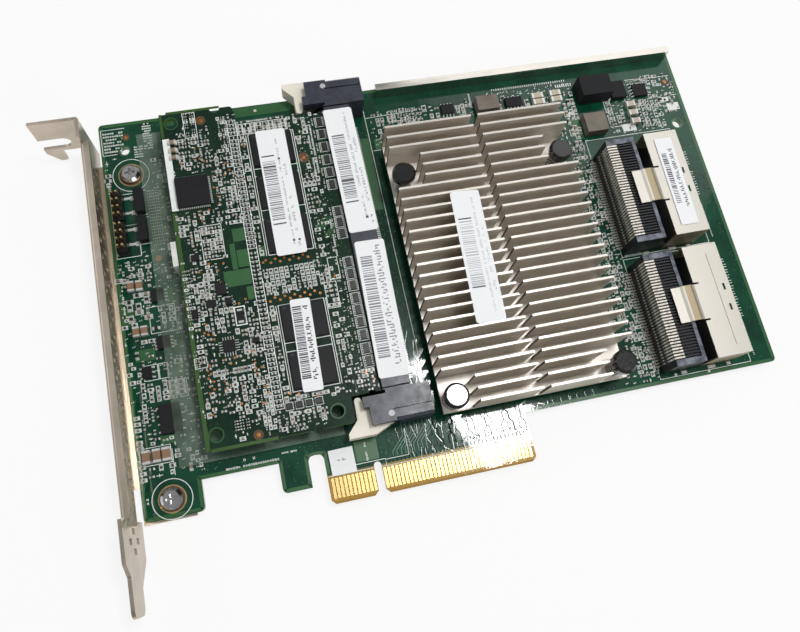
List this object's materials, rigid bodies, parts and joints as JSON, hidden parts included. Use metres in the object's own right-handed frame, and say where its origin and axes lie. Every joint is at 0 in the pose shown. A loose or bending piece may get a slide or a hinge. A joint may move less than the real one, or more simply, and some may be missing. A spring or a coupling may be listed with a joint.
{
  "type": "raid controller card",
  "caption": "Edge-connector storage controller card with a finned heat sink, a socketed cache module held by ejector latches, drive ports and a vented slot bracket.",
  "frame": {"origin": "middle of the edge connector's key, on the tongue's lower edge, at the component face of the board", "axes": "+X along the card away from the bracket, +Y from the edge connector towards the top edge, +Z out of the component face"},
  "size_m": [0.1811, 0.1274, 0.0179],
  "materials": {
    "solder_mask": "satin green solder mask",
    "module_mask": "satin olive-green solder mask",
    "gold": "gold plated",
    "bracket_steel": "nickel-plated sheet",
    "screw_steel": "bright zinc",
    "bar_steel": "bright drawn",
    "package": "moulded epoxy",
    "gap_pad": "soft grey",
    "fin_metal": "dull anodised, bright cut edges",
    "pin_black": "polished",
    "spring_steel": "drawn wire",
    "white_plastic": "satin",
    "film": "clear film",
    "socket_plastic": "fine-textured moulding",
    "ivory_plastic": "satin moulding",
    "tin": "tinned",
    "port_black": "moulded",
    "port_metal": "satin nickel",
    "choke_moulding": "pressed iron powder",
    "choke_black": "moulded",
    "ceramic": "fired body, tinned ends",
    "label": "matt white"
  },
  "bodies": {
    "card": {"board_label": "label", "bracket": "bracket_steel", "bracket_screws": "screw_steel", "capacitors": "ceramic", "controller_chip": "package", "edge_contacts": "gold", "header_pins": "gold", "headers": "port_black", "heat_sink": "fin_metal", "insulating_film": "film", "latch_pivots": "white_plastic", "logic_chips": "package", "lower_port_cage": "port_metal", "lower_port_contacts": "tin", "lower_port_housing": "port_black", "main_board": "solder_mask", "memory_chips": "package", "memory_label": "label", "module_board": "module_mask", "module_controller": "package", "module_post": "white_plastic", "module_socket": "socket_plastic", "port_label": "label", "power_choke": "choke_black", "push_pin_springs": "spring_steel", "push_pins": "pin_black", "serial_label": "label", "short_label": "label", "sink_label": "label", "small_chokes": "choke_moulding", "socket_contacts": "tin", "socket_label": "label", "stiffener_bar": "bar_steel", "thermal_pad": "gap_pad", "upper_port_cage": "port_metal", "upper_port_contacts": "tin", "upper_port_housing": "port_black"},
    "front_latch": {"latch_front": "ivory_plastic"},
    "rear_latch": {"latch_rear": "ivory_plastic"}
  },
  "joints": [
    {"name": "front_latch_pivot", "type": "hinge", "parent": "card", "child": "front_latch", "pos_m": [0.0051, 0.01775, 0.004], "axis": [0, 0, 1], "range_deg": [0, 18]},
    {"name": "rear_latch_pivot", "type": "hinge", "parent": "card", "child": "rear_latch", "pos_m": [0.0051, 0.10875, 0.004], "axis": [0, 0, -1], "range_deg": [0, 18]}
  ]
}
